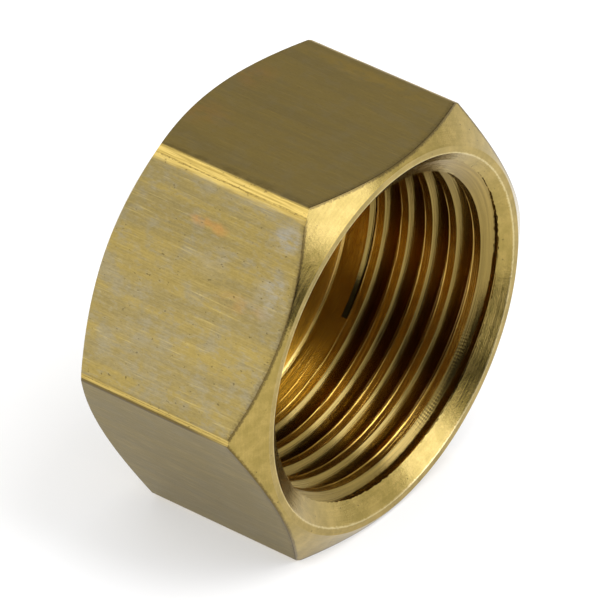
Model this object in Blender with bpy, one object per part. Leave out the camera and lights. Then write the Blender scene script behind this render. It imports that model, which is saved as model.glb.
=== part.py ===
# Threaded pipe cap, turned from hexagonal brass bar.
# One solid: a hexagon with both ends chamfered, a blind bore with a countersunk mouth,
# and a parallel pipe thread cut into the bore.
# The cap lies on one of its flats, mouth towards -Y, with the origin under its middle.

import math

import bmesh
import bpy
from mathutils import Matrix

# Bar
ACROSS_FLATS = 0.0190
CAP_LENGTH = 0.0105
BAR_CORNER_RADIUS = 0.00032
BAR_CORNER_STEPS = 3

# Walls: the least one stands between the thread's root and a flat
WALL_AT_FLATS = 0.00104
END_WALL = 0.00205

# Turned chamfers: how far each cuts into its end face from the flats, and its slope from that face
MOUTH_CHAMFER_INSET = 0.00024
MOUTH_CHAMFER_ANGLE = math.radians(32.7)
CLOSED_CHAMFER_INSET = 0.00080
CLOSED_CHAMFER_ANGLE = math.radians(32.0)
TURNED_SEGMENTS = 96

# Mouth and floor of the bore
COUNTERSINK_WIDTH = 0.00116
COUNTERSINK_ANGLE = math.radians(110.0)
FLOOR_CORNER_RADIUS = 0.00025
FLOOR_CORNER_STEPS = 3

# Thread: a right-hand 55 degree groove, its crests left flat by the bore
THREAD_PITCH = 0.001337
THREAD_FLANK_ANGLE = math.radians(27.5)
THREAD_CREST_WIDTH = 0.00042
THREAD_ROOT_WIDTH = 0.00018
THREAD_START_ANGLE = math.radians(322.5)
THREAD_START_DEPTH = 0.000665
TAP_LEAD_ANGLE = math.radians(31.0)
PLAIN_BORE_LENGTH = 0.00125
THREAD_SEGMENTS = 72

# How far a cutter reaches past the surface that it cuts
CUTTER_MARGIN = 0.0005

SHARP_EDGE_ANGLE = math.radians(25.0)

GROOVE_WIDTH = THREAD_PITCH - THREAD_CREST_WIDTH
GROOVE_DEPTH = (GROOVE_WIDTH - THREAD_ROOT_WIDTH) / 2 / math.tan(THREAD_FLANK_ANGLE)
BORE_RADIUS = ACROSS_FLATS / 2 - WALL_AT_FLATS - GROOVE_DEPTH
COUNTERSINK_RADIUS = BORE_RADIUS + COUNTERSINK_WIDTH
MOUTH_CHAMFER_RADIUS = ACROSS_FLATS / 2 - MOUTH_CHAMFER_INSET
CLOSED_CHAMFER_RADIUS = ACROSS_FLATS / 2 - CLOSED_CHAMFER_INSET
CORNER_DISTANCE = ACROSS_FLATS / 2 / math.cos(math.pi / 6)
MOUTH_Z = CAP_LENGTH / 2
CLOSED_Z = -CAP_LENGTH / 2
FLOOR_Z = CLOSED_Z + END_WALL
THREAD_END_Z = FLOOR_Z + PLAIN_BORE_LENGTH


def clear_scene():
    for obj in list(bpy.data.objects):
        bpy.data.objects.remove(obj, do_unlink=True)


def brass_material():
    material = bpy.data.materials.new("brass")
    material.use_nodes = True
    shader = material.node_tree.nodes["Principled BSDF"]
    shader.inputs["Base Color"].default_value = (0.52, 0.42, 0.20, 1.0)
    shader.inputs["Metallic"].default_value = 1.0
    shader.inputs["Roughness"].default_value = 0.35
    return material


def new_object(name, bm):
    bmesh.ops.recalc_face_normals(bm, faces=bm.faces)
    mesh = bpy.data.meshes.new(name)
    bm.to_mesh(mesh)
    bm.free()
    obj = bpy.data.objects.new(name, mesh)
    bpy.context.scene.collection.objects.link(obj)
    return obj


def hexagonal_bar(name):
    """A length of bar on end, with two flats square to Y and its six long edges rounded."""
    bm = bmesh.new()
    corners_along_x = Matrix.Rotation(math.pi / 6, 4, 'Z')
    closed_end = Matrix.Translation((0.0, 0.0, CLOSED_Z))
    bmesh.ops.create_circle(bm, cap_ends=True, segments=6, radius=CORNER_DISTANCE,
                            matrix=closed_end @ corners_along_x)
    bar = bmesh.ops.extrude_face_region(bm, geom=bm.faces[:])
    mouth_end = [item for item in bar["geom"] if isinstance(item, bmesh.types.BMVert)]
    bmesh.ops.translate(bm, verts=mouth_end, vec=(0.0, 0.0, CAP_LENGTH))
    long_edges = [edge for edge in bm.edges
                  if abs(edge.verts[0].co.z - edge.verts[1].co.z) > CAP_LENGTH / 2]
    tangent_length = BAR_CORNER_RADIUS * math.tan(math.pi / 6)
    bmesh.ops.bevel(bm, geom=long_edges, affect='EDGES', offset=tangent_length,
                    segments=BAR_CORNER_STEPS, profile=0.5, material=-1)
    return new_object(name, bm)


def turned_solid(name, profile, segments):
    """Spin a profile of (radius, height) points, listed from axis to axis, round Z."""
    bm = bmesh.new()
    points = [bm.verts.new((radius, 0.0, height)) for radius, height in profile]
    edges = [bm.edges.new(pair) for pair in zip(points, points[1:])]
    bmesh.ops.spin(bm, geom=points + edges, cent=(0.0, 0.0, 0.0), axis=(0.0, 0.0, 1.0),
                   angle=2 * math.pi, steps=segments, use_merge=True)
    bmesh.ops.remove_doubles(bm, verts=bm.verts, dist=1e-6)
    return new_object(name, bm)


def chamfer_envelope():
    """The double cone that the lathe leaves of the bar: it is wider than the bar between its ends."""
    outside = CORNER_DISTANCE + CUTTER_MARGIN
    mouth_drop = (outside - MOUTH_CHAMFER_RADIUS) * math.tan(MOUTH_CHAMFER_ANGLE)
    closed_rise = (outside - CLOSED_CHAMFER_RADIUS) * math.tan(CLOSED_CHAMFER_ANGLE)
    mouth_taper = CUTTER_MARGIN / math.tan(MOUTH_CHAMFER_ANGLE)
    closed_taper = CUTTER_MARGIN / math.tan(CLOSED_CHAMFER_ANGLE)
    profile = [
        (0.0, MOUTH_Z + CUTTER_MARGIN),
        (MOUTH_CHAMFER_RADIUS - mouth_taper, MOUTH_Z + CUTTER_MARGIN),
        (outside, MOUTH_Z - mouth_drop),
        (outside, CLOSED_Z + closed_rise),
        (CLOSED_CHAMFER_RADIUS - closed_taper, CLOSED_Z - CUTTER_MARGIN),
        (0.0, CLOSED_Z - CUTTER_MARGIN),
    ]
    return turned_solid("chamfer_envelope", profile, TURNED_SEGMENTS)


def bore_cutter():
    """The bored hole with its countersunk mouth and the tool's small radius round the floor."""
    cone_slope = math.tan(COUNTERSINK_ANGLE / 2)
    profile = [
        (0.0, MOUTH_Z + CUTTER_MARGIN),
        (COUNTERSINK_RADIUS + CUTTER_MARGIN * cone_slope, MOUTH_Z + CUTTER_MARGIN),
        (BORE_RADIUS, MOUTH_Z - COUNTERSINK_WIDTH / cone_slope),
    ]
    for step in range(FLOOR_CORNER_STEPS + 1):
        angle = math.pi / 2 * step / FLOOR_CORNER_STEPS
        profile.append((BORE_RADIUS - FLOOR_CORNER_RADIUS * (1 - math.cos(angle)),
                        FLOOR_Z + FLOOR_CORNER_RADIUS * (1 - math.sin(angle))))
    profile.append((0.0, FLOOR_Z))
    return turned_solid("bore_cutter", profile, THREAD_SEGMENTS)


def thread_cutter():
    """The groove as one solid ridge on a helix, from its deep end up and out of the mouth.

    At the deep end its top follows the cone of the tap's lead down into the bore.
    """
    flank_slope = math.tan(THREAD_FLANK_ANGLE)
    inner_overlap = THREAD_CREST_WIDTH / 4 / flank_slope
    inner_width = GROOVE_WIDTH + 2 * inner_overlap * flank_slope
    section = [
        (BORE_RADIUS - inner_overlap, -inner_width / 2),
        (BORE_RADIUS + GROOVE_DEPTH, -THREAD_ROOT_WIDTH / 2),
        (BORE_RADIUS + GROOVE_DEPTH, THREAD_ROOT_WIDTH / 2),
        (BORE_RADIUS - inner_overlap, inner_width / 2),
    ]

    step_angle = 2 * math.pi / THREAD_SEGMENTS
    step_rise = THREAD_PITCH / THREAD_SEGMENTS
    start_z = MOUTH_Z - THREAD_START_DEPTH
    deep_steps = round((start_z - THREAD_END_Z + GROOVE_WIDTH / 2) / step_rise)
    deep_z = start_z - deep_steps * step_rise
    steps = deep_steps + round((THREAD_START_DEPTH + inner_width) / step_rise)

    bm = bmesh.new()
    corners = [bm.verts.new((radius, 0.0, height)) for radius, height in section]
    face = bm.faces.new(corners)
    bmesh.ops.spin(bm, geom=[face] + face.edges[:] + corners, cent=(0.0, 0.0, 0.0),
                   axis=(0.0, 0.0, 1.0), angle=steps * step_angle, steps=steps,
                   dvec=(0.0, 0.0, step_rise))
    follow_tap_lead(bm, THREAD_END_Z - deep_z, BORE_RADIUS - inner_overlap / 2)
    bmesh.ops.triangulate(bm, faces=bm.faces)
    bmesh.ops.rotate(bm, verts=bm.verts, cent=(0.0, 0.0, 0.0),
                     matrix=Matrix.Rotation(THREAD_START_ANGLE - deep_steps * step_angle, 3, 'Z'))
    bmesh.ops.translate(bm, verts=bm.verts, vec=(0.0, 0.0, deep_z))
    return new_object("thread_cutter", bm)


def helix_rise(vert):
    """How far the helix has climbed at a vertex of the ridge, read from its angle and its turn."""
    part_turn = math.atan2(vert.co.y, vert.co.x) / (2 * math.pi) % 1.0
    turn = round(vert.co.z / THREAD_PITCH - part_turn)
    return (turn + part_turn) * THREAD_PITCH


def follow_tap_lead(bm, lead_end, sunk_radius):
    """Slide the ridge's top down its own flanks to the lead's cone, which meets the bore at lead_end."""
    flank_slope = math.tan(THREAD_FLANK_ANGLE)
    lead_slope = math.tan(TAP_LEAD_ANGLE)
    for vert in bm.verts:
        radius = math.hypot(vert.co.x, vert.co.y)
        if radius < sunk_radius:
            continue
        centre = helix_rise(vert)
        side = math.copysign(1.0, vert.co.z - centre)
        foot = centre + side * GROOVE_WIDTH / 2
        height = (foot - lead_end) * lead_slope / (1.0 + side * flank_slope * lead_slope)
        height = max(height, sunk_radius - BORE_RADIUS)
        if height < radius - BORE_RADIUS:
            vert.co.x *= (BORE_RADIUS + height) / radius
            vert.co.y *= (BORE_RADIUS + height) / radius
            vert.co.z = foot - side * height * flank_slope


def cut(target, cutter, operation):
    cutter.hide_render = True
    cutter.display_type = 'WIRE'
    cutter.parent = target
    modifier = target.modifiers.new(cutter.name, 'BOOLEAN')
    modifier.operation = operation
    modifier.solver = 'EXACT'
    modifier.object = cutter


def shade_by_angle(obj):
    """Shade the finished solid smooth, and leave each edge over the sharp angle crisp."""
    group = bpy.data.node_groups.new("shade_by_angle", 'GeometryNodeTree')
    group.interface.new_socket("Geometry", in_out='INPUT', socket_type='NodeSocketGeometry')
    group.interface.new_socket("Geometry", in_out='OUTPUT', socket_type='NodeSocketGeometry')
    solid_in = group.nodes.new('NodeGroupInput')
    solid_out = group.nodes.new('NodeGroupOutput')
    smooth_faces = group.nodes.new('GeometryNodeSetShadeSmooth')
    sharp_edges = group.nodes.new('GeometryNodeSetShadeSmooth')
    sharp_edges.domain = 'EDGE'
    sharp_edges.inputs["Shade Smooth"].default_value = False
    edge_angle = group.nodes.new('GeometryNodeInputMeshEdgeAngle')
    over_limit = group.nodes.new('ShaderNodeMath')
    over_limit.operation = 'GREATER_THAN'
    over_limit.inputs[1].default_value = SHARP_EDGE_ANGLE
    group.links.new(edge_angle.outputs["Unsigned Angle"], over_limit.inputs[0])
    group.links.new(over_limit.outputs[0], sharp_edges.inputs["Selection"])
    group.links.new(solid_in.outputs[0], smooth_faces.inputs["Geometry"])
    group.links.new(smooth_faces.outputs[0], sharp_edges.inputs["Geometry"])
    group.links.new(sharp_edges.outputs[0], solid_out.inputs[0])
    obj.modifiers.new("shade_by_angle", 'NODES').node_group = group


def build_cap():
    cap = hexagonal_bar("hex_cap")
    cap.data.materials.append(brass_material())
    cut(cap, chamfer_envelope(), 'INTERSECT')
    cut(cap, bore_cutter(), 'DIFFERENCE')
    cut(cap, thread_cutter(), 'DIFFERENCE')
    shade_by_angle(cap)
    lie_on_flat = Matrix.Rotation(math.pi / 2, 4, 'X')
    cap.matrix_world = Matrix.Translation((0.0, 0.0, ACROSS_FLATS / 2)) @ lie_on_flat
    return cap


clear_scene()
build_cap()
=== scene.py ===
import math

import bmesh
import bpy
from mathutils import Matrix, Vector, noise


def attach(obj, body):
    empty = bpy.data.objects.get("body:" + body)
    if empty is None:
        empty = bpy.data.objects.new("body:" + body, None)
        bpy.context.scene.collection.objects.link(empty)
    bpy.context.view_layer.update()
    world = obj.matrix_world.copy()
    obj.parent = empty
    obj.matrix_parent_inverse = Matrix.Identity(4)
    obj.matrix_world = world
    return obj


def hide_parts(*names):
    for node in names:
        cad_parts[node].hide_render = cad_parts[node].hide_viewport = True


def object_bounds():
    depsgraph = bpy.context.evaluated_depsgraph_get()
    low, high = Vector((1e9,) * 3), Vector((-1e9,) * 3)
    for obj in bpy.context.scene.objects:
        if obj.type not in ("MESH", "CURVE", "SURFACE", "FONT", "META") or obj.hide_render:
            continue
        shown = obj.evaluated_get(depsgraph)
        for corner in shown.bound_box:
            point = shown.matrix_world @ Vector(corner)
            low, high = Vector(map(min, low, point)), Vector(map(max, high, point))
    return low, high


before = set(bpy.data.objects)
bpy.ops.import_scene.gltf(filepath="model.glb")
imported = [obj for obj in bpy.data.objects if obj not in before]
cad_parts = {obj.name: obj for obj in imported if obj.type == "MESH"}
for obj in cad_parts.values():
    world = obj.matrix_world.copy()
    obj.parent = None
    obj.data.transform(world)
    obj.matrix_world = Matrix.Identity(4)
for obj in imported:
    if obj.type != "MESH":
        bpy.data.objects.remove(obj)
cad_low, cad_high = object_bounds()

# The cap, read from the frame
ACROSS_FLATS = cad_high.z - cad_low.z
CAP_LENGTH = cad_high.y - cad_low.y
AXIS_HEIGHT = (cad_high.z + cad_low.z) / 2
MM = 0.001

# Bar: a worn facet on each long corner, as (direction it faces, its distance from the axis)
WORN_FACETS = (
    (math.radians(0), 10.900 * MM),
    (math.radians(66), 10.830 * MM),
    (math.radians(141), 10.124 * MM),
    (math.radians(172), 10.750 * MM),
    (math.radians(243), 10.840 * MM),
    (math.radians(297), 10.850 * MM),
)
EDGE_WEAR = 0.05 * MM
EDGE_STEPS = 2

# Turned faces
MOUTH_CHAMFER_RADIUS = ACROSS_FLATS / 2 - 0.24 * MM
MOUTH_CHAMFER_ANGLE = math.radians(32.7)
CLOSED_CHAMFER_RADIUS = ACROSS_FLATS / 2 - 0.80 * MM
CLOSED_CHAMFER_ANGLE = math.radians(32.0)
TURNED_SEGMENTS = 288

# Bore
BORE_RADIUS = 7.752 * MM
COUNTERSINK_RADIUS = BORE_RADIUS + 1.16 * MM
COUNTERSINK_ANGLE = math.radians(110)
END_WALL = 2.05 * MM
FLOOR_CORNER_RADIUS = 0.25 * MM
FLOOR_CORNER_STEPS = 5

# Thread: its groove starts in the countersink, and ends at the plain bore by the floor
PITCH = 1.337 * MM
FLANK_ANGLE = math.radians(27.5)
CREST_WIDTH = 0.49 * MM
CREST_EDGE = 0.06 * MM
ROOT_WIDTH = 0.12 * MM
ROOT_ROUNDING = 0.05 * MM
ROOT_STEPS = 4
THREAD_START_ANGLE = math.radians(322.5)
THREAD_START_DEPTH = 0.700 * MM
THREAD_SEGMENTS = 288
WHOLE_TURNS = 5
LAST_STEPS = 2
TAP_LEAD_ANGLE = math.radians(45)
PLAIN_BORE_LENGTH = 1.25 * MM

# Burr on the countersink's inner edge: its largest tooth, how deep it goes, and its waves per metre
BURR_TOOTH = 0.045 * MM
BURR_DEPTH = 1.2 * MM
BURR_CLEARANCE = 0.05 * MM
FINE_TEETH = 6000
COARSE_TEETH = 2000

# How far a cutter reaches past the surface that it cuts, and the thread's ridge into the bore
MARGIN = 0.5 * MM
OVERLAP = 0.12 * MM
MERGE_DISTANCE = 1e-7
SHARP_ANGLE = math.radians(25)

MOUTH = CAP_LENGTH / 2
CLOSED = -CAP_LENGTH / 2
FLOOR = CLOSED + END_WALL
CORNER_DISTANCE = ACROSS_FLATS / 2 / math.cos(math.pi / 6)

# Colours, linear
TARNISH = (0.285, 0.222, 0.088)
FLAT_GOLD = (0.350, 0.262, 0.082)
GREY_TARNISH = (0.290, 0.248, 0.150)
BLUE_GREY = (0.360, 0.345, 0.300)
ORANGE = (0.480, 0.255, 0.075)
SCRATCH = (0.580, 0.450, 0.160)
SPECK = (0.070, 0.050, 0.020)
# Dark of burrs and edges, and of one painted shadow line on the top flat
BURR_AND_SHADOW_DARK = (0.090, 0.062, 0.022)
# Painted highlight: the colour of a bright line round the countersink's rim
PAINTED_RIM_HIGHLIGHT = (0.750, 0.620, 0.320)
# Gold of rubbed wear, also used for painted light low in the bore near its floor
WORN_GOLD_AND_PAINTED_LIGHT = (0.620, 0.455, 0.135)
WORN_DEEP = (0.420, 0.295, 0.075)
TURNED_OLIVE = (0.325, 0.240, 0.066)
TURNED_GOLD = (0.410, 0.300, 0.090)
BORE_AMBER = (0.460, 0.295, 0.070)
BORE_GOLD = (0.550, 0.375, 0.100)
THREAD_OLIVE = (0.300, 0.212, 0.062)
THREAD_GOLD = (0.385, 0.275, 0.080)
ROOT_BROWN = (0.420, 0.250, 0.080)
# Painted light: the lighter colour of the flanks that face away from the mouth
PAINTED_LIGHT_FLANK = (0.760, 0.530, 0.185)

WHITE = (1.000, 1.000, 1.000)
COOL_WHITE = (1.000, 1.050, 1.400)
PALE_FLOOR = (0.580, 0.580, 0.580)
WARM_GREY = (0.405, 0.375, 0.290)
DARK_CARD = (0.030, 0.028, 0.025)
FLOOR_GLOW = 0.38

# Stains on the flats, and one painted shadow line along the top flat's edge: the flat's direction, place
# across it, depth, widths (mm), share, colour
STAINS_AND_SHADOW_LINE = (
    (150, -3.93, 1.46, (0.9, 1.1, 0.9), 0.80, BLUE_GREY),
    (150, -1.35, 1.29, (1.6, 1.2, 1.6), 0.60, BLUE_GREY),
    (150, -1.75, 4.73, (1.0, 1.2, 1.0), 0.35, BLUE_GREY),
    (150, -4.60, 3.60, (0.7, 3.0, 0.7), 0.60, GREY_TARNISH),
    (150, 3.40, 7.17, (1.8, 3.5, 1.8), 0.50, GREY_TARNISH),
    (150, -1.00, 5.60, (1.3, 6.0, 1.3), 0.50, FLAT_GOLD),
    (150, -3.14, 5.84, (0.35, 0.9, 0.35), 0.90, ORANGE),
    (150, -3.10, 4.90, (0.40, 0.7, 0.40), 0.70, ORANGE),
    (150, -0.43, 2.60, (0.6, 1.8, 0.6), 0.30, ORANGE),
    (90, -1.52, 9.23, (1.6, 1.2, 1.6), 0.30, ORANGE),
    (90, 2.23, 9.41, (1.4, 2.4, 1.4), 0.28, ORANGE),
    (90, -4.60, 5.00, (0.7, 6.0, 0.7), 0.50, WORN_DEEP),
    # Painted shadow: a dark soft line along the top flat's edge beside the rubbed corner
    (90, 5.30, 5.20, (0.50, 8.0, 0.50), 0.40, BURR_AND_SHADOW_DARK),
)

# Places along the thread, in turns from the mouth or in shares of the pitch. A crest runs from 0.35
# to 0.71 of the pitch, and the flank that faces away from the mouth from there to 0.98.
PITCH_SHIFT = 0.611
AWAY_FLANK = (0.48, 0.56)
LAST_GROOVE = (5.12, 5.08)
LIP_RISE = (0.625, 0.688)
LIP_FALL = (0.735, 0.700)
LIP_END = (5.75, 5.55)
CHATTER_RIPPLES = 300

# Camera, from the photograph's outline
CAMERA_AZIMUTH = math.radians(-53.83)
CAMERA_ELEVATION = math.radians(34.81)
CAMERA_ROLL = math.radians(1.62)
CAMERA_DISTANCE = 18.655 * ACROSS_FLATS
PIXELS_PER_WIDTH = 426.3
IMAGE_WIDTH = 600
PICTURE_OFFSET = (1.06, -1.17)

# Dark cards in front of the mouth, in metres: one lies on the floor, and one stands at its far end
CARD_WIDTH = 0.124
LYING_LENGTH = 0.229
LYING_NEAR_SHARE = 0.085
LYING_MIDDLE = (0.0120, -0.1355)
LYING_LIFT = 0.3 * MM
LYING_TURN = math.radians(2.0)
UPRIGHT_HEIGHT = 0.045
UPRIGHT_MIDDLE = (0.0160, -0.250)


def new_piece(name, bm, material):
    bmesh.ops.recalc_face_normals(bm, faces=bm.faces)
    mesh = bpy.data.meshes.new(name)
    bm.to_mesh(mesh)
    bm.free()
    mesh.materials.append(material)
    piece = bpy.data.objects.new(name, mesh)
    bpy.context.scene.collection.objects.link(piece)
    return piece


def turned(name, profile, material, segments):
    """Spin (radius, height) points, listed from axis to axis, into a solid round Z."""
    bm = bmesh.new()
    points = [bm.verts.new((radius, 0, height)) for radius, height in profile]
    edges = [bm.edges.new(pair) for pair in zip(points, points[1:])]
    bmesh.ops.spin(bm, geom=points + edges, cent=(0, 0, 0), axis=(0, 0, 1),
                   angle=2 * math.pi, steps=segments, use_merge=True)
    bmesh.ops.remove_doubles(bm, verts=bm.verts, dist=MERGE_DISTANCE)
    return new_piece(name, bm, material)


def bar(name, material):
    """The hexagonal bar on end, with two flats square to Y."""
    bm = bmesh.new()
    at_closed_end = Matrix.Translation((0, 0, CLOSED)) @ Matrix.Rotation(math.pi / 6, 4, 'Z')
    bmesh.ops.create_circle(bm, cap_ends=True, segments=6, radius=CORNER_DISTANCE,
                            matrix=at_closed_end)
    column = bmesh.ops.extrude_face_region(bm, geom=bm.faces[:])
    mouth_end = [item for item in column["geom"] if isinstance(item, bmesh.types.BMVert)]
    bmesh.ops.translate(bm, verts=mouth_end, vec=(0, 0, CAP_LENGTH))
    for direction, distance in WORN_FACETS:
        facing = Vector((math.cos(direction), math.sin(direction), 0))
        cut_open = bmesh.ops.bisect_plane(bm, geom=bm.verts[:] + bm.edges[:] + bm.faces[:],
                                          dist=MERGE_DISTANCE, plane_co=facing * distance,
                                          plane_no=facing, clear_outer=True)
        rim = [item for item in cut_open["geom_cut"] if isinstance(item, bmesh.types.BMEdge)]
        bmesh.ops.edgeloop_fill(bm, edges=rim)
    long_edges = [edge for edge in bm.edges
                  if abs(edge.verts[0].co.z - edge.verts[1].co.z) > CAP_LENGTH / 2]
    bmesh.ops.bevel(bm, geom=long_edges, affect='EDGES', offset=EDGE_WEAR,
                    segments=EDGE_STEPS, profile=0.5, material=-1)
    return new_piece(name, bm, material)


def chamfer_envelope(material):
    outside = CORNER_DISTANCE + MARGIN
    profile = [
        (0, MOUTH + MARGIN),
        (MOUTH_CHAMFER_RADIUS - MARGIN / math.tan(MOUTH_CHAMFER_ANGLE), MOUTH + MARGIN),
        (outside, MOUTH - (outside - MOUTH_CHAMFER_RADIUS) * math.tan(MOUTH_CHAMFER_ANGLE)),
        (outside, CLOSED + (outside - CLOSED_CHAMFER_RADIUS) * math.tan(CLOSED_CHAMFER_ANGLE)),
        (CLOSED_CHAMFER_RADIUS - MARGIN / math.tan(CLOSED_CHAMFER_ANGLE), CLOSED - MARGIN),
        (0, CLOSED - MARGIN),
    ]
    return turned("envelope", profile, material, TURNED_SEGMENTS)


def countersink(material):
    slope = math.tan(COUNTERSINK_ANGLE / 2)
    profile = [
        (0, MOUTH + MARGIN),
        (COUNTERSINK_RADIUS + MARGIN * slope, MOUTH + MARGIN),
        (BORE_RADIUS - MARGIN, MOUTH - (COUNTERSINK_RADIUS - BORE_RADIUS + MARGIN) / slope),
        (0, MOUTH - (COUNTERSINK_RADIUS - BORE_RADIUS + MARGIN) / slope),
    ]
    return turned("countersink", profile, material, TURNED_SEGMENTS)


def bore(material):
    profile = [(0, MOUTH + MARGIN), (BORE_RADIUS, MOUTH + MARGIN)]
    for step in range(FLOOR_CORNER_STEPS + 1):
        angle = math.pi / 2 * step / FLOOR_CORNER_STEPS
        profile.append((BORE_RADIUS - FLOOR_CORNER_RADIUS * (1 - math.cos(angle)),
                        FLOOR + FLOOR_CORNER_RADIUS * (1 - math.sin(angle))))
    profile.append((0, FLOOR))
    return turned("bore", profile, material, THREAD_SEGMENTS)


def groove(material):
    """The thread's groove as one ridge on a helix, from its deep end up and out of the mouth."""
    slope = math.tan(FLANK_ANGLE)
    groove_width = PITCH - CREST_WIDTH
    groove_depth = (groove_width - ROOT_WIDTH) / 2 / slope
    edge_foot = groove_width / 2 - CREST_EDGE * slope
    half_inside = edge_foot + CREST_EDGE + OVERLAP
    section = [
        (BORE_RADIUS - OVERLAP, -half_inside),
        (BORE_RADIUS + CREST_EDGE, -edge_foot),
    ]
    for step in range(ROOT_STEPS + 1):
        angle = math.pi * step / ROOT_STEPS
        section.append((BORE_RADIUS + groove_depth + ROOT_ROUNDING * math.sin(angle),
                        -ROOT_WIDTH / 2 * math.cos(angle)))
    section += [
        (BORE_RADIUS + CREST_EDGE, edge_foot),
        (BORE_RADIUS - OVERLAP, half_inside),
    ]

    step_rise = PITCH / THREAD_SEGMENTS
    step_angle = 2 * math.pi / THREAD_SEGMENTS
    whole_steps = WHOLE_TURNS * THREAD_SEGMENTS + LAST_STEPS
    steps = whole_steps + round((THREAD_START_DEPTH + 2 * half_inside) / step_rise)
    # Half a step more sets the ridge's facets between the bore's
    steps_below_start = whole_steps + 0.5
    deep_end = MOUTH - THREAD_START_DEPTH - steps_below_start * step_rise
    bm = bmesh.new()
    corners = [bm.verts.new((radius, 0, height)) for radius, height in section]
    face = bm.faces.new(corners)
    bmesh.ops.spin(bm, geom=[face] + face.edges[:] + corners, cent=(0, 0, 0), axis=(0, 0, 1),
                   angle=steps * step_angle, steps=steps, dvec=(0, 0, step_rise))
    follow_tap_lead(bm, FLOOR + PLAIN_BORE_LENGTH - deep_end, groove_width / 2)
    bmesh.ops.triangulate(bm, faces=bm.faces)
    turn = THREAD_START_ANGLE - steps_below_start * step_angle
    bmesh.ops.rotate(bm, verts=bm.verts, cent=(0, 0, 0), matrix=Matrix.Rotation(turn, 3, 'Z'))
    bmesh.ops.translate(bm, verts=bm.verts, vec=(0, 0, deep_end))
    return new_piece("groove", bm, material)


def follow_tap_lead(bm, lead_end, half_width):
    """Bring the ridge's top down to the cone of the tap's lead, which meets the bore at lead_end."""
    flank = math.tan(FLANK_ANGLE)
    lead = math.tan(TAP_LEAD_ANGLE)
    root_corner = 0.4 * ROOT_WIDTH
    # The edge by the crest sinks ahead of the top, so that the two never meet
    edge_share = 0.6
    for vert in bm.verts:
        height = math.hypot(vert.co.x, vert.co.y) - BORE_RADIUS
        if height < 0:
            continue
        part_turn = math.atan2(vert.co.y, vert.co.x) / (2 * math.pi) % 1
        centre = (round(vert.co.z / PITCH - part_turn) + part_turn) * PITCH
        side = math.copysign(1, vert.co.z - centre)
        foot = centre + side * half_width
        at_cone = (foot - lead_end) * lead / (1 + side * flank * lead)
        lowered = max(at_cone, -OVERLAP / 2)
        if height < 2 * CREST_EDGE:
            lowered = edge_share * lowered - (1 - edge_share) * OVERLAP
            rise = foot - side * (CREST_EDGE * flank - (CREST_EDGE - lowered))
        elif abs(vert.co.z - centre) > root_corner:
            rise = foot - side * lowered * flank
        else:
            lowered = max((vert.co.z - lead_end) * lead, -OVERLAP / 2)
            rise = vert.co.z
        if lowered < height:
            vert.co.x *= (BORE_RADIUS + lowered) / (BORE_RADIUS + height)
            vert.co.y *= (BORE_RADIUS + lowered) / (BORE_RADIUS + height)
            vert.co.z = rise


def cut(piece, cutter, operation):
    modifier = piece.modifiers.new(cutter.name, 'BOOLEAN')
    modifier.operation = operation
    modifier.solver = 'EXACT'
    modifier.material_mode = 'TRANSFER'
    modifier.object = cutter


def settle(piece, cutters):
    """Apply the piece's modifiers, and remove the cutters."""
    finished = piece.evaluated_get(bpy.context.evaluated_depsgraph_get())
    mesh = bpy.data.meshes.new_from_object(finished)
    piece.modifiers.clear()
    piece.data = mesh
    for cutter in cutters:
        bpy.data.objects.remove(cutter)


class Wire:
    """One output of a material's nodes, with arithmetic that adds the nodes that it needs."""

    def __init__(self, tree, socket=None):
        self.tree = tree
        self.socket = socket

    def node(self, kind, settings, inputs, output=0):
        """Add a node: its settings first, and then the values or links of its sockets."""
        added = self.tree.nodes.new(kind)
        for name, value in settings.items():
            setattr(added, name, value)
        for name, value in inputs.items():
            if isinstance(value, Wire):
                self.tree.links.new(value.socket, added.inputs[name])
            else:
                added.inputs[name].default_value = value
        return Wire(self.tree, added.outputs[output])

    def output(self, name):
        """Another output of the same node."""
        return Wire(self.tree, self.socket.node.outputs[name])

    def math(self, operation, *values):
        return self.node('ShaderNodeMath', {"operation": operation}, dict(enumerate(values)))

    def __add__(self, other):
        return self.math('ADD', self, other)

    def __radd__(self, other):
        return self.math('ADD', other, self)

    def __sub__(self, other):
        return self.math('SUBTRACT', self, other)

    def __rsub__(self, other):
        return self.math('SUBTRACT', other, self)

    def __mul__(self, other):
        return self.math('MULTIPLY', self, other)

    def __rmul__(self, other):
        return self.math('MULTIPLY', other, self)

    def __truediv__(self, other):
        return self.math('DIVIDE', self, other)

    def __rtruediv__(self, other):
        return self.math('DIVIDE', other, self)

    def abs(self):
        return self.math('ABSOLUTE', self)

    def sqrt(self):
        return self.math('SQRT', self)

    def sine(self):
        return self.math('SINE', self)

    def fract(self):
        return self.math('FRACT', self)

    def max(self, other):
        return self.math('MAXIMUM', self, other)

    def step(self, low, high):
        """0 up to low, 1 from high, and a smooth rise between them; low may be the larger."""
        return self.node('ShaderNodeMapRange', {"interpolation_type": 'SMOOTHSTEP'},
                         {"Value": self, "From Min": low, "From Max": high})


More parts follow.
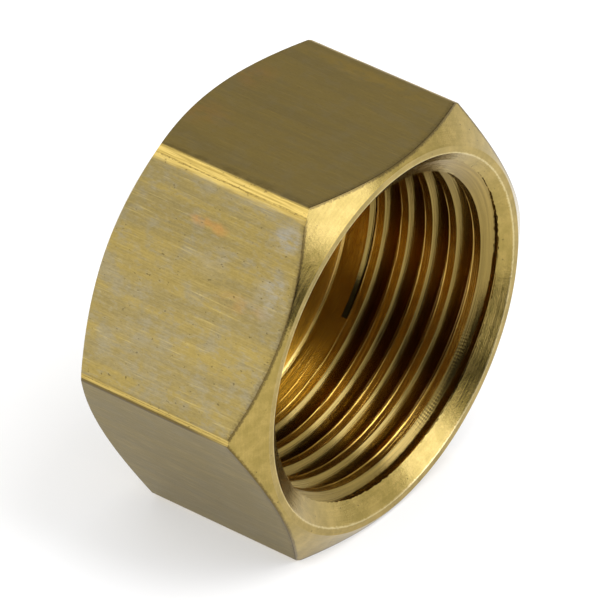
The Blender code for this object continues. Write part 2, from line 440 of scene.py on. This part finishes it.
class Brass:
    """A brass material whose looks follow the cap's own sizes, in millimetres."""

    # A Mix node's sockets for its share, its two colours and the mixed colour
    SHARE = 0
    FIRST_COLOUR = 6
    SECOND_COLOUR = 7
    MIXED_COLOUR = 2

    def __init__(self, name):
        self.material = bpy.data.materials.new(name)
        self.material.use_nodes = True
        self.tree = self.material.node_tree
        self.shader = self.tree.nodes["Principled BSDF"]
        self.shader.inputs["Metallic"].default_value = 1
        metres = Wire(self.tree).node('ShaderNodeTexCoord', {}, {}, "Object")
        self.place = self.vector_math('MULTIPLY', metres, (1 / MM, 1 / MM, 1 / MM))
        split = self.place.node('ShaderNodeSeparateXYZ', {}, {0: self.place})
        self.x = split.output("X")
        self.z = split.output("Z") - AXIS_HEIGHT / MM
        self.depth = split.output("Y") + MOUTH / MM
        self.radius = (self.x * self.x + self.z * self.z).sqrt()
        self.angle = self.z.math('ARCTAN2', self.z, self.x)
        tilt_x = self.x * math.cos(math.pi / 6)
        tilt_z = self.z * math.sin(math.pi / 6)
        self.from_flats = self.z.abs().max((tilt_x + tilt_z).abs()).max((tilt_x - tilt_z).abs())
        self.turns = self.depth / (PITCH / MM) + self.angle / (2 * math.pi)
        self.along_pitch = (self.turns + PITCH_SHIFT).fract()

    def vector_math(self, operation, first, second, output=0):
        return first.node('ShaderNodeVectorMath', {"operation": operation}, {0: first, 1: second}, output)

    def vector(self, x, y, z):
        return self.place.node('ShaderNodeCombineXYZ', {}, {0: x, 1: y, 2: z})

    def noise(self, vector, scale=1, detail=3):
        return vector.node('ShaderNodeTexNoise', {}, {
            "Vector": vector, "Scale": scale, "Detail": detail, "Roughness": 0.6})

    def stretched_noise(self, x, y, z, detail):
        """Noise with its own number of waves per millimetre along each axis."""
        return self.noise(self.vector_math('MULTIPLY', self.place, (x, y, z)), detail=detail)

    def turned_noise(self, out, waves_round, into, detail):
        """Noise in lines round the axis, with few waves for each radian round it."""
        return self.noise(self.vector(out, self.angle * waves_round, into), detail=detail)

    def spots(self, scale, size, share):
        """Small dark spots: about the given share of the cells has one."""
        cells = self.place.node('ShaderNodeTexVoronoi', {}, {"Vector": self.place, "Scale": scale})
        chance = cells.node('ShaderNodeSeparateColor', {}, {0: cells.output("Color")})
        return cells.step(size, size * 0.5) * chance.step(share, share - 0.02)

    def sector(self, middle, outer, inner):
        """A soft sector round the axis, 0 from the outer and 1 from the inner angle off its middle."""
        off_middle = (self.angle - math.radians(middle)).abs()
        return off_middle.step(math.radians(outer), math.radians(inner))

    def patch(self, point, widths):
        """A soft patch round a point of the surface, with its own width along each axis."""
        offset = self.vector_math('SUBTRACT', self.place, point)
        share = self.vector_math('DIVIDE', offset, widths)
        length = share.node('ShaderNodeVectorMath', {"operation": 'LENGTH'}, {0: share}, "Value")
        return length.step(1, 0.2)

    def mix(self, share, first, second):
        colours = {}
        for slot, colour in ((self.FIRST_COLOUR, first), (self.SECOND_COLOUR, second)):
            colours[slot] = colour if isinstance(colour, Wire) else (*colour, 1)
        return share.node('ShaderNodeMix', {"data_type": 'RGBA', "clamp_factor": True},
                          {self.SHARE: share, **colours}, self.MIXED_COLOUR)

    def shade(self, colour, value):
        """The colour made lighter or darker by a factor."""
        grey = self.vector(value, value, value)
        return colour.node('ShaderNodeMix', {"data_type": 'RGBA', "blend_type": 'MULTIPLY'},
                           {self.SHARE: 1, self.FIRST_COLOUR: colour, self.SECOND_COLOUR: grey},
                           self.MIXED_COLOUR)

    def finish(self, colour, roughness, height):
        """Link the looks; height is in millimetres."""
        bump = height.node('ShaderNodeBump', {}, {"Distance": MM, "Height": height})
        for name, value in (("Base Color", colour), ("Roughness", roughness), ("Normal", bump)):
            self.tree.links.new(value.socket, self.shader.inputs[name])
        return self.material


def on_flat(direction, along, depth):
    """A point of a flat, in millimetres, from its direction, its place across and its depth."""
    angle = math.radians(direction)
    half = ACROSS_FLATS / MM / 2
    return (half * math.cos(angle) - along * math.sin(angle), depth - MOUTH / MM,
            half * math.sin(angle) + along * math.cos(angle) + AXIS_HEIGHT / MM)


def stains_and_shadow_line(brass, colour):
    ragged = brass.stretched_noise(2.2, 1.2, 2.2, detail=4).step(0.35, 0.62)
    for direction, along, depth, widths, share, tint in STAINS_AND_SHADOW_LINE:
        spot = brass.patch(on_flat(direction, along, depth), widths)
        colour = brass.mix(spot * ragged * share, colour, tint)
    return colour


def rubbed_corners(brass, colour, worn, fine, scratches, grain, pits):
    """The bright strips along the bar's worn corners, with a broken dark line beside each."""
    limit = ACROSS_FLATS / MM / 2
    rubbed = brass.mix(scratches.step(0.38, 0.62), WORN_DEEP, WORN_GOLD_AND_PAINTED_LIGHT)
    rubbed = brass.shade(rubbed, 0.62 + fine * 0.75)
    line = (brass.from_flats - (limit - 0.058)).abs() + (fine - 0.5) * 0.010
    rubbed = brass.mix(line.step(0.010, 0.002) * grain.step(0.35, 0.60) * 0.5, rubbed, SPECK)
    rubbed = brass.mix(pits.step(0.66, 0.76) * 0.5, rubbed, SPECK)
    return brass.mix(worn, colour, rubbed)


def drawn_flats():
    """Drawn bar with tarnish and scratches along it, most on the scuffed flat at the upper left."""
    brass = Brass("drawn_flats")
    scuffed = brass.x.step(-5.0, -6.0) * brass.z.step(-0.3, 0.3)
    fine = brass.stretched_noise(10, 0.8, 10, detail=4)
    scratches = brass.stretched_noise(13, 0.35, 13, detail=3)
    broad = brass.stretched_noise(1.5, 0.14, 1.5, detail=2)
    cloud = brass.stretched_noise(1.0, 0.8, 1.0, detail=5)
    mottle = brass.stretched_noise(4.5, 2.2, 4.5, detail=4)
    grain = brass.stretched_noise(14, 6, 14, detail=3)
    pits = brass.stretched_noise(7, 4, 7, detail=1)

    colour = brass.mix(broad.step(0.35, 0.68) * (0.5 + scuffed * 0.5), TARNISH, FLAT_GOLD)
    colour = brass.mix(cloud.step(0.48, 0.64) * (0.25 + scuffed * 0.45), colour, GREY_TARNISH)
    colour = brass.mix(mottle.step(0.50, 0.66) * (0.10 + scuffed * 0.40), colour, GREY_TARNISH)
    # Stains, and one painted shadow line on the top flat
    colour = stains_and_shadow_line(brass, colour)
    uneven = (fine - 0.5) * 0.50 + (scratches - 0.5) * 0.25
    uneven = uneven + (grain - 0.5) * 0.35 + (mottle - 0.5) * 0.25
    colour = brass.shade(colour, 0.93 + uneven * (0.45 + scuffed * 0.75))
    scored = scratches.step(0.60, 0.72) * fine.step(0.42, 0.58) * scuffed
    colour = brass.mix(scored * 0.45, colour, SCRATCH)
    # Painted shade: the flats below the axis are made darker
    painted_underside_shade = brass.z.step(-0.1, -0.5)
    upper_left = brass.z.step(3.0, 7.5) * scuffed
    colour = brass.shade(colour, 1 - painted_underside_shade * 0.18 - upper_left * 0.12)

    chamfer_slope = math.tan(MOUTH_CHAMFER_ANGLE)
    rim = brass.depth - (brass.radius - MOUTH_CHAMFER_RADIUS / MM) * chamfer_slope
    colour = brass.mix((rim + (grain - 0.5) * 0.5).step(0.30, 0.05) * 0.35, colour, BURR_AND_SHADOW_DARK)
    colour = brass.mix((rim + (grain - 0.5) * 0.12).step(0.085, 0.02) * 0.9, colour, BURR_AND_SHADOW_DARK)
    colour = brass.mix(pits.step(0.69, 0.78) * (0.15 + scuffed * 0.45), colour, SPECK)

    limit = ACROSS_FLATS / MM / 2
    worn = (brass.from_flats + (fine - 0.5) * 0.09).step(limit + 0.004, limit - 0.060)
    colour = rubbed_corners(brass, colour, worn, fine, scratches, grain, pits)
    seam = brass.x.step(-9, -10) * brass.z.step(0.02, -0.06) * brass.z.step(-0.34, -0.22)
    colour = brass.mix(seam * brass.depth.step(0.8, 3.5) * 0.8, colour, BURR_AND_SHADOW_DARK)
    roughness = 0.36 + fine * 0.14 + worn * -0.06
    height = fine * 0.008 + grain * 0.003 + worn * scratches * 0.012
    return brass.finish(colour, roughness, height)


def turned_faces():
    brass = Brass("turned_faces")
    closed_end = brass.depth.step(8, 9)
    mouth_end = brass.depth.step(3, 1)
    mottle = brass.noise(brass.place, scale=1.6, detail=4)
    grain = brass.noise(brass.place, scale=11, detail=2)
    rings = brass.turned_noise(brass.radius * 9, 1.6, brass.depth * 9, detail=3)
    colour = brass.mix(mottle.step(0.35, 0.70), TURNED_OLIVE, TURNED_GOLD)
    uneven = rings * 0.30 + grain * 0.22 + (rings - 0.5) * closed_end * 0.5
    colour = brass.shade(colour, 0.74 + uneven)
    colour = brass.mix(brass.spots(3.2, 0.13, 0.22), colour, SPECK)
    edge = brass.from_flats + (grain - 0.5) * 0.22
    limit = ACROSS_FLATS / MM / 2
    colour = brass.mix(edge.step(limit - 0.13, limit - 0.04) * 0.75, colour, BURR_AND_SHADOW_DARK)
    # Painted highlight: a bright line round the countersink's rim at the mouth
    lip = (brass.radius - COUNTERSINK_RADIUS / MM).abs() + (grain - 0.5) * 0.16
    colour = brass.mix(lip.step(0.07, 0.0) * mouth_end * 0.6, colour, PAINTED_RIM_HIGHLIGHT)
    height = rings * 0.005 + grain * 0.003 + mottle * 0.004
    return brass.finish(colour, 0.13 + mottle * 0.09, height)


def bored_wall():
    """The plain bore, the thread's crests and the floor, with a rolled lip where the thread ends."""
    brass = Brass("bored_wall")
    floor_depth = (MOUTH - FLOOR) / MM
    wall = brass.depth.step(floor_depth - 0.01, floor_depth - 0.09)
    painted_light_low_end = brass.depth.step(6.6, 7.8) * brass.z.step(-4.0, -7.0)
    marks = brass.turned_noise(brass.radius * 4, 1.2, brass.depth * 14, detail=3)
    tool_lines = brass.turned_noise(brass.radius * 4, 1.2, brass.depth * 30, detail=1)
    mottle = brass.noise(brass.place, scale=1.5, detail=3)
    colour = brass.mix(mottle.step(0.3, 0.7), BORE_AMBER, BORE_GOLD)
    near_floor = brass.depth.step(floor_depth - 0.15, floor_depth - 0.03)
    colour = brass.mix(near_floor * 0.5, colour, ROOT_BROWN)
    # Painted light: a brighter patch on the low side of the bore near the floor
    colour = brass.mix(painted_light_low_end * 0.7, colour, WORN_GOLD_AND_PAINTED_LIGHT)
    colour = brass.shade(colour, 0.80 + marks * 0.35)
    lip = brass.along_pitch.step(*LIP_RISE) * brass.along_pitch.step(*LIP_FALL)
    lip = lip * brass.turns.step(*LIP_END)
    height = marks * 0.004 + tool_lines * (0.006 + wall * 0.014) + lip * 0.032
    return brass.finish(colour, 0.19 + mottle * 0.06, height)


def thread():
    brass = Brass("thread")
    inside = brass.depth.step(0.2, 1.2)
    away = brass.along_pitch.step(*AWAY_FLANK) * brass.turns.step(*LAST_GROOVE)
    root = brass.radius.step(8.20, 8.42) * brass.depth.step(0.5, 1.5)
    first_land = brass.depth.step(1.75, 1.35) * brass.radius.step(8.15, 8.02)
    marks = brass.turned_noise(brass.radius * 10, 1.5, brass.turns * 14, detail=3)
    tool_lines = brass.turned_noise(brass.radius * 22, 1.2, brass.turns * 22, detail=1)
    grain = brass.noise(brass.place, scale=9, detail=2)
    colour = brass.mix(marks.step(0.3, 0.7), THREAD_OLIVE, THREAD_GOLD)
    # Painted light: the flanks that face away from the mouth are made much lighter
    colour = brass.mix(away * 0.8, colour, PAINTED_LIGHT_FLANK)
    # Painted shade: crests and mouth-facing flanks darkened inside the bore, most in a sector at the
    # lower right
    painted_shade_inside = inside * (1 - away) * (0.30 + brass.sector(-34, 20, 5) * 0.30)
    colour = brass.shade(colour, (0.78 + marks * 0.25 + grain * 0.15) * (1 - painted_shade_inside))
    colour = brass.mix(root * 0.6, colour, ROOT_BROWN)
    colour = brass.mix(brass.spots(3.0, 0.13, 0.16), colour, SPECK)
    chatter = (brass.angle * CHATTER_RIPPLES).sine() * first_land * brass.sector(-45, 32, 14)
    height = marks * 0.008 + grain * (0.004 - inside * 0.003) + chatter * marks * 0.002
    height = height + tool_lines * (inside * 0.004 + away * 0.022)
    return brass.finish(colour, 0.12 + grain * 0.08, height)


def roughen_burrs(mesh, first, second):
    """Pull the edge between two materials into small uneven teeth near the mouth."""
    bm = bmesh.new()
    bm.from_mesh(mesh)
    ragged = set()
    for edge in bm.edges:
        slots = {face.material_index for face in edge.link_faces}
        if slots == {first, second}:
            ragged.update(edge.verts)
    for vert in ragged:
        radius = math.hypot(vert.co.x, vert.co.y)
        if radius < BORE_RADIUS + BURR_CLEARANCE or vert.co.z < MOUTH - BURR_DEPTH:
            continue
        tooth = noise.noise(vert.co * FINE_TEETH) + 0.5 * noise.noise(vert.co * COARSE_TEETH)
        pull = BURR_TOOTH * tooth
        vert.co.x *= (radius - pull) / radius
        vert.co.y *= (radius - pull) / radius
        vert.co.z -= pull / math.tan(COUNTERSINK_ANGLE / 2)
    bm.to_mesh(mesh)
    bm.free()


def build_cap():
    drawn = drawn_flats()
    turned_face = turned_faces()
    bored = bored_wall()
    threaded = thread()
    cap = bar("hex_cap_skin", drawn)
    cutters = [chamfer_envelope(turned_face), bore(bored), groove(threaded), countersink(turned_face)]
    cut(cap, cutters[0], 'INTERSECT')
    for cutter in cutters[1:]:
        cut(cap, cutter, 'DIFFERENCE')
    settle(cap, cutters)
    slots = {material.name: index for index, material in enumerate(cap.data.materials)}
    for face in cap.data.polygons:
        if abs(face.normal.z) > 0.999 and abs(abs(face.center.z) - MOUTH) < 0.01 * MM:
            face.material_index = slots["turned_faces"]
    roughen_burrs(cap.data, slots["turned_faces"], slots["thread"])
    cap.data.transform(Matrix.Translation((0, 0, AXIS_HEIGHT)) @ Matrix.Rotation(math.pi / 2, 4, 'X'))
    cap.data.shade_smooth()
    cap.data.set_sharp_from_angle(angle=SHARP_ANGLE)
    return cap


def toward(azimuth, elevation, distance):
    """A point seen from the cap's middle; the azimuth runs from the mouth's direction to +X."""
    return Vector((math.sin(azimuth) * math.cos(elevation) * distance,
                   -math.cos(azimuth) * math.cos(elevation) * distance,
                   math.sin(elevation) * distance + AXIS_HEIGHT))


def photo_camera():
    middle = Vector((0, 0, AXIS_HEIGHT))
    eye = toward(CAMERA_AZIMUTH, CAMERA_ELEVATION, CAMERA_DISTANCE)
    back = (eye - middle).normalized()
    right = Vector((math.cos(CAMERA_AZIMUTH), math.sin(CAMERA_AZIMUTH), 0))
    level = Matrix((right, back.cross(right), back)).transposed()
    data = bpy.data.cameras.new("photo_camera")
    data.lens = data.sensor_width * PIXELS_PER_WIDTH * CAMERA_DISTANCE / ACROSS_FLATS / IMAGE_WIDTH
    data.shift_x = -PICTURE_OFFSET[0] / IMAGE_WIDTH
    data.shift_y = PICTURE_OFFSET[1] / IMAGE_WIDTH
    data.clip_start = 0.01
    data.clip_end = 10
    camera = bpy.data.objects.new("photo_camera", data)
    bpy.context.scene.collection.objects.link(camera)
    place = level @ Matrix.Rotation(CAMERA_ROLL, 3, 'Z')
    camera.matrix_world = Matrix.Translation(eye) @ place.to_4x4()
    bpy.context.scene.camera = camera


def facing_cap(obj, azimuth, elevation, distance):
    """Set a lamp or card at a distance in metres, by angles in degrees, and turn it to the cap."""
    obj.location = toward(math.radians(azimuth), math.radians(elevation), distance)
    obj.rotation_euler = (obj.location - Vector((0, 0, AXIS_HEIGHT))).to_track_quat('Z', 'Y').to_euler()


def soft_lamp(name, size, brightness, colour):
    """A soft box: its brightness is what the cap sees of it, where the white surroundings are 1."""
    data = bpy.data.lights.new(name, 'AREA')
    data.shape = 'RECTANGLE'
    data.size, data.size_y = size
    data.color = colour
    data.energy = brightness * math.pi * size[0] * size[1]
    lamp = bpy.data.objects.new(name, data)
    bpy.context.scene.collection.objects.link(lamp)
    return lamp


def dull(name, colour, glow=0):
    """A matt material without a gloss, for what stands round the cap."""
    material = bpy.data.materials.new(name)
    material.use_nodes = True
    shader = material.node_tree.nodes["Principled BSDF"]
    shader.inputs["Base Color"].default_value = (*colour, 1)
    shader.inputs["Roughness"].default_value = 1
    shader.inputs["Specular IOR Level"].default_value = 0
    shader.inputs["Emission Color"].default_value = (*WHITE, 1)
    shader.inputs["Emission Strength"].default_value = glow
    return material


def sheet(name, size, near_share, material):
    """A flat sheet on the stage, narrower at its +Y end by a share."""
    bm = bmesh.new()
    bmesh.ops.create_grid(bm, x_segments=1, y_segments=1, size=0.5)
    near_end = [vert for vert in bm.verts if vert.co.y > 0]
    bmesh.ops.scale(bm, vec=(near_share, 1, 1), verts=near_end)
    bmesh.ops.scale(bm, vec=(size[0], size[1], 1), verts=bm.verts)
    piece = new_piece(name, bm, material)
    return piece


def card(name, size, near_share, colour):
    """A card that the metal mirrors and the camera doesn't see."""
    piece = sheet(name, size, near_share, dull(name, colour))
    piece.visible_camera = False
    piece.visible_shadow = False
    piece.visible_diffuse = False
    return piece


def studio():
    """White surroundings, a pale floor that keeps the cap's shadow, soft lamps, and cards to mirror."""
    surroundings = bpy.data.worlds.new("studio")
    bpy.context.scene.world = surroundings
    surroundings.use_nodes = True
    background = surroundings.node_tree.nodes["Background"]
    background.inputs["Color"].default_value = (*WHITE, 1)
    background.inputs["Strength"].default_value = 1
    floor = sheet("floor", (4, 4), 1, dull("pale_floor", PALE_FLOOR, FLOOR_GLOW))
    floor.location.z = cad_low.z

    facing_cap(soft_lamp("front_light", (0.165, 0.27), 1.95, COOL_WHITE), 18.5, 22, 0.40)
    facing_cap(soft_lamp("high_light", (0.18, 0.22), 5.6, WHITE), 14, 62, 0.38)
    facing_cap(soft_lamp("left_light", (0.45, 0.40), 1.0, WHITE), -118, 28, 0.60)

    facing_cap(card("warm_grey_card", (0.60, 0.42), 1, WARM_GREY), 126, 40, 0.30)
    facing_cap(card("camera_card", (0.34, 0.42), 1, DARK_CARD), -52, 30, 0.42)
    lying = card("lying_card", (CARD_WIDTH, LYING_LENGTH), LYING_NEAR_SHARE, DARK_CARD)
    lying.location = (*LYING_MIDDLE, cad_low.z + LYING_LIFT)
    lying.rotation_euler.z = LYING_TURN
    upright = card("upright_card", (CARD_WIDTH, UPRIGHT_HEIGHT), 1, DARK_CARD)
    upright.location = (*UPRIGHT_MIDDLE, cad_low.z + UPRIGHT_HEIGHT / 2)
    upright.rotation_euler.x = math.pi / 2


cap = build_cap()
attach(cap, "root")
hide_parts("hex_cap")

photo_camera()
studio()
bpy.context.scene.view_settings.view_transform = 'Standard'
